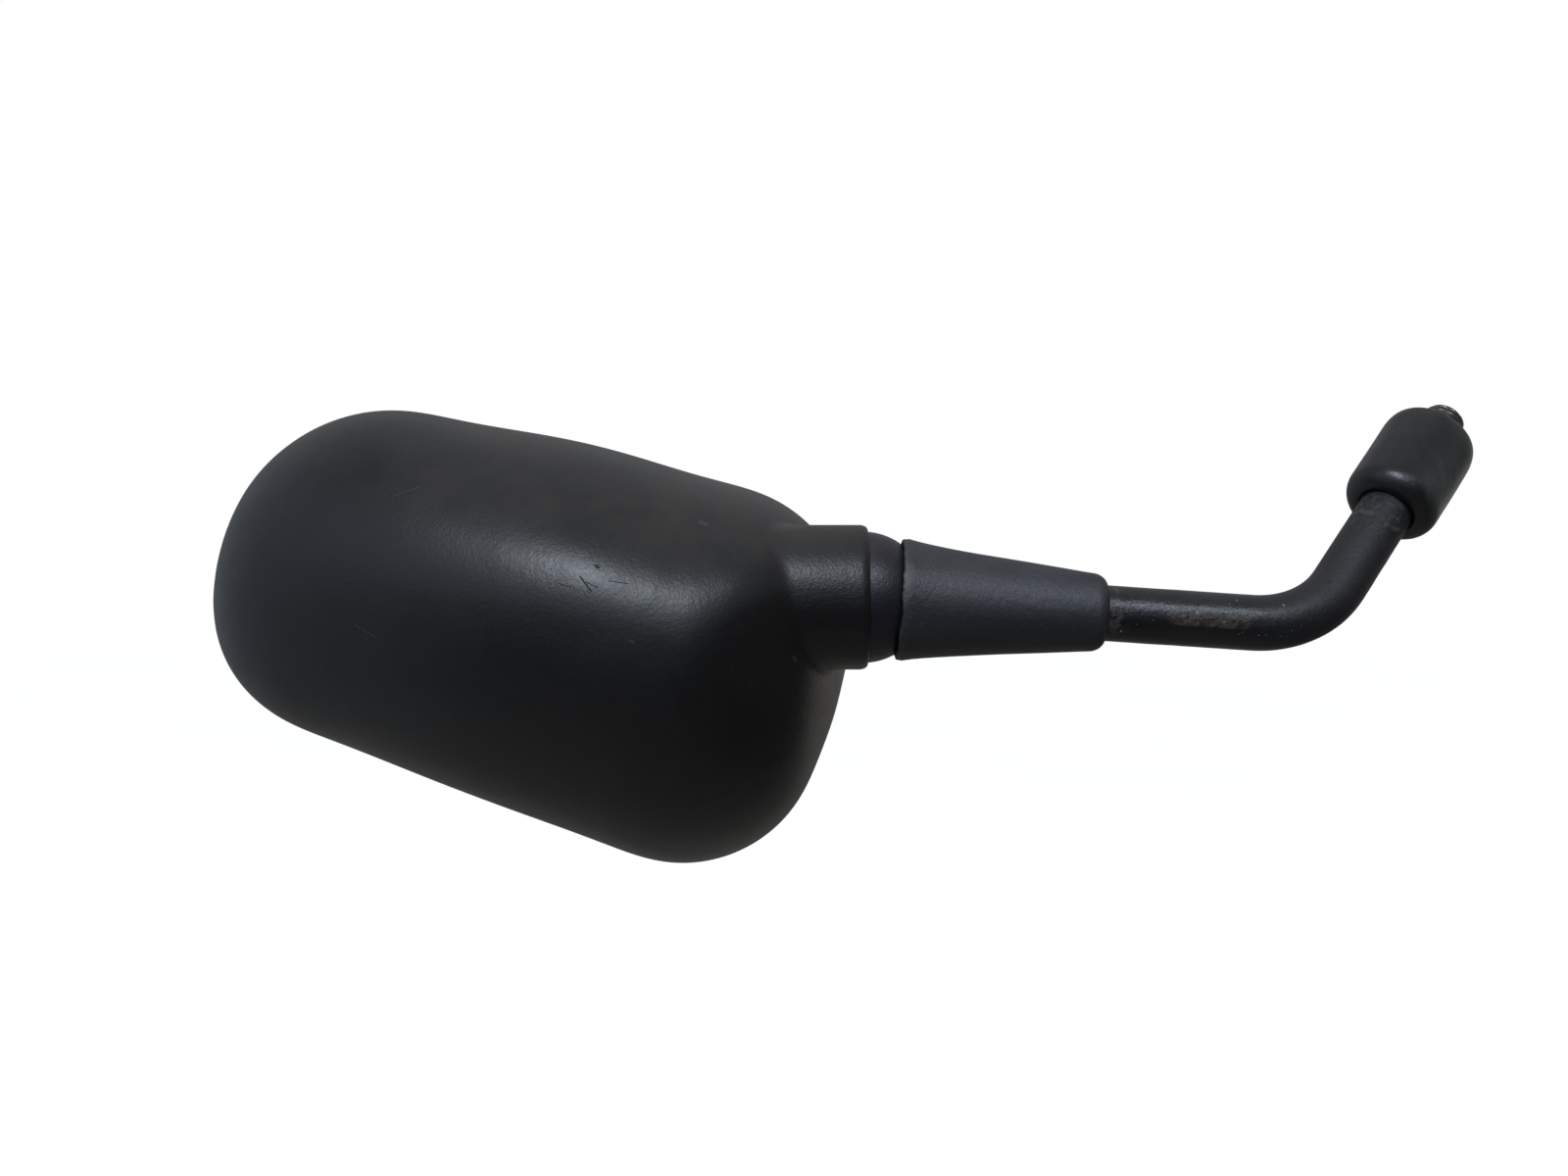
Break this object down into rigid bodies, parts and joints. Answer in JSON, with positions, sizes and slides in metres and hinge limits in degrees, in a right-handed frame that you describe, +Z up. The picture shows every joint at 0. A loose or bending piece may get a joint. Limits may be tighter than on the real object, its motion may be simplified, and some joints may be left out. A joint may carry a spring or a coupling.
{
  "type": "bike mirror",
  "caption": "Rear-view mirror for a motorcycle: rounded black shell with convex glass on a ball joint, tapered rubber boot and a bent stem ending in a threaded stud.",
  "frame": {"origin": "centre of the flat tip of the threaded stud, the end that screws into the handlebar clamp", "axes": "+X from the head's outer end towards the stem, along the neck; +Y the way the glass looks; +Z up as the part is stored. On the vehicle the stud points down, so the part is turned half a turn about Y."},
  "size_m": [0.3038, 0.0641, 0.1114],
  "materials": {
    "black_shell": "fine-grained satin moulded plastic, lightly scratched",
    "black_dome": "satin moulded plastic",
    "rubber": "dull moulded rubber",
    "black_paint": "gloss black paint, chipped with rust spots",
    "zinc_steel": "dull zinc plating",
    "bright_steel": "ground steel",
    "white_nylon": "natural nylon",
    "bezel_black": "matt moulded plastic",
    "holder_grey": "moulded plastic",
    "foam_white": "closed-cell foam tape",
    "mirror_glass": "silvered convex glass"
  },
  "bodies": {
    "stem": {"stem_rod": "black_paint", "ball_stud": "bright_steel", "grub_screw": "zinc_steel", "boot_cone": "rubber", "lock_nut": "zinc_steel", "nut_cover": "rubber"},
    "swivel": {"joint_dome": "black_dome"},
    "liner": {"ball_liner": "white_nylon"},
    "head": {"housing": "black_shell", "socket_front": "white_nylon", "socket_rear": "white_nylon", "spring_washer": "zinc_steel", "socket_spring": "bright_steel", "socket_plug": "zinc_steel", "glass_holder": "holder_grey", "holder_screw_1": "zinc_steel", "holder_screw_2": "zinc_steel", "holder_screw_3": "zinc_steel", "holder_screw_4": "zinc_steel", "glass_pad": "foam_white", "mirror_glass": "mirror_glass", "glass_bezel": "bezel_black"}
  },
  "joints": [
    {"name": "head_roll", "type": "hinge", "parent": "stem", "child": "swivel", "pos_m": [-0.14456, -0.0328, -0.044], "axis": [0.9979, 0, -0.0654], "continuous": true},
    {"name": "head_swing", "type": "hinge", "parent": "swivel", "child": "liner", "pos_m": [-0.14456, -0.0328, -0.044], "axis": [0, 0, 1], "range_deg": [-12, 12]},
    {"name": "head_tilt", "type": "hinge", "parent": "liner", "child": "head", "pos_m": [-0.14456, -0.0328, -0.044], "axis": [0, 1, 0], "range_deg": [-8.25, 15.75]}
  ]
}
